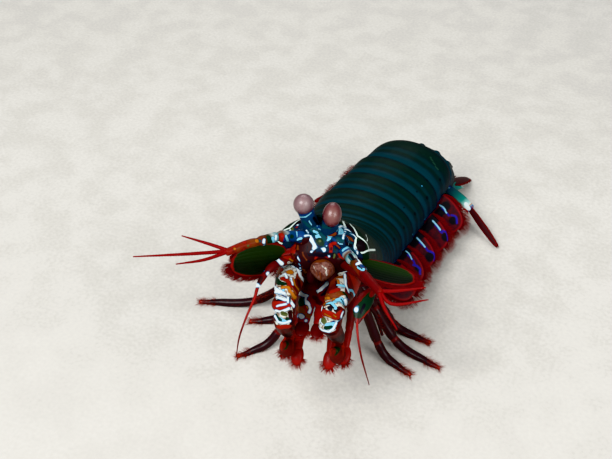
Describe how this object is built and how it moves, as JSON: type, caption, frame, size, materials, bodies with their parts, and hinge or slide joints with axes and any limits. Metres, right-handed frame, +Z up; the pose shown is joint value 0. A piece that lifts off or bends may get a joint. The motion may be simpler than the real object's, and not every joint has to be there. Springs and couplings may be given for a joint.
{
  "type": "mantis shrimp model",
  "caption": "Life-size still model of a mantis shrimp, head and folded claws raised, resting on its legs and tail fan.",
  "frame": {"origin": "on the ground under the middle of the animal's box", "axes": "+Z up, head towards -Y, tail towards +Y, the animal's left towards +X"},
  "size_m": [0.0874, 0.1553, 0.0724],
  "materials": {
    "carapace": "glossy dark teal shell, net of pale lines on the sides",
    "rostral_plate": "glossy teal shell",
    "thorax": "glossy dark teal shell",
    "abdomen": "glossy teal shell, a blue-green band at the front of each ring",
    "telson": "glossy dark teal shell",
    "head": "satin blue and brown skin with white patches",
    "mouth": "satin pinkish brown skin",
    "eye_stalks": "satin blue skin",
    "eyes": "smooth salmon pink",
    "antennal_scales": "glossy green to black, bright red rim",
    "banded_limbs": "satin, bands of white, blue, orange and brown",
    "red_limbs": "satin red",
    "claws": "glossy, white, orange, brick red and dark green patches",
    "claw_tips": "glossy red",
    "legs": "satin dark maroon with red bristles",
    "swimmerets": "satin dark red, black spot with a blue rim, red fringe",
    "tail_fan": "satin dark red blade, teal and white root"
  },
  "bodies": {
    "root": {"abdomen_1": "abdomen", "abdomen_2": "abdomen", "abdomen_3": "abdomen", "abdomen_4": "abdomen", "abdomen_5": "abdomen", "abdomen_6": "abdomen", "antenna_left": "red_limbs", "antenna_right": "red_limbs", "antennal_scale_left": "antennal_scales", "antennal_scale_right": "antennal_scales", "antennule_left": "banded_limbs", "antennule_right": "banded_limbs", "carapace": "carapace", "eye_left": "eyes", "eye_right": "eyes", "eye_stalk_left": "eye_stalks", "eye_stalk_right": "eye_stalks", "head": "head", "labrum": "mouth", "maxilliped_3_left": "red_limbs", "maxilliped_3_right": "red_limbs", "maxilliped_4_left": "red_limbs", "maxilliped_4_right": "red_limbs", "maxilliped_5_left": "red_limbs", "maxilliped_5_right": "red_limbs", "raptorial_carpus_left": "claws", "raptorial_carpus_right": "claws", "raptorial_dactyl_left": "claw_tips", "raptorial_dactyl_right": "claw_tips", "raptorial_merus_left": "claws", "raptorial_merus_right": "claws", "raptorial_propodus_left": "claws", "raptorial_propodus_right": "claws", "rostral_plate": "rostral_plate", "swimmeret_1_left": "swimmerets", "swimmeret_1_right": "swimmerets", "swimmeret_2_left": "swimmerets", "swimmeret_2_right": "swimmerets", "swimmeret_3_left": "swimmerets", "swimmeret_3_right": "swimmerets", "swimmeret_4_left": "swimmerets", "swimmeret_4_right": "swimmerets", "swimmeret_5_left": "swimmerets", "swimmeret_5_right": "swimmerets", "telson": "telson", "thorax_5": "thorax", "thorax_6": "thorax", "thorax_7": "thorax", "thorax_8": "thorax", "uropod_inner_left": "tail_fan", "uropod_inner_right": "tail_fan", "uropod_outer_left": "tail_fan", "uropod_outer_right": "tail_fan", "walking_leg_6_left": "legs", "walking_leg_6_right": "legs", "walking_leg_7_left": "legs", "walking_leg_7_right": "legs", "walking_leg_8_left": "legs", "walking_leg_8_right": "legs"}
  },
  "joints": []
}
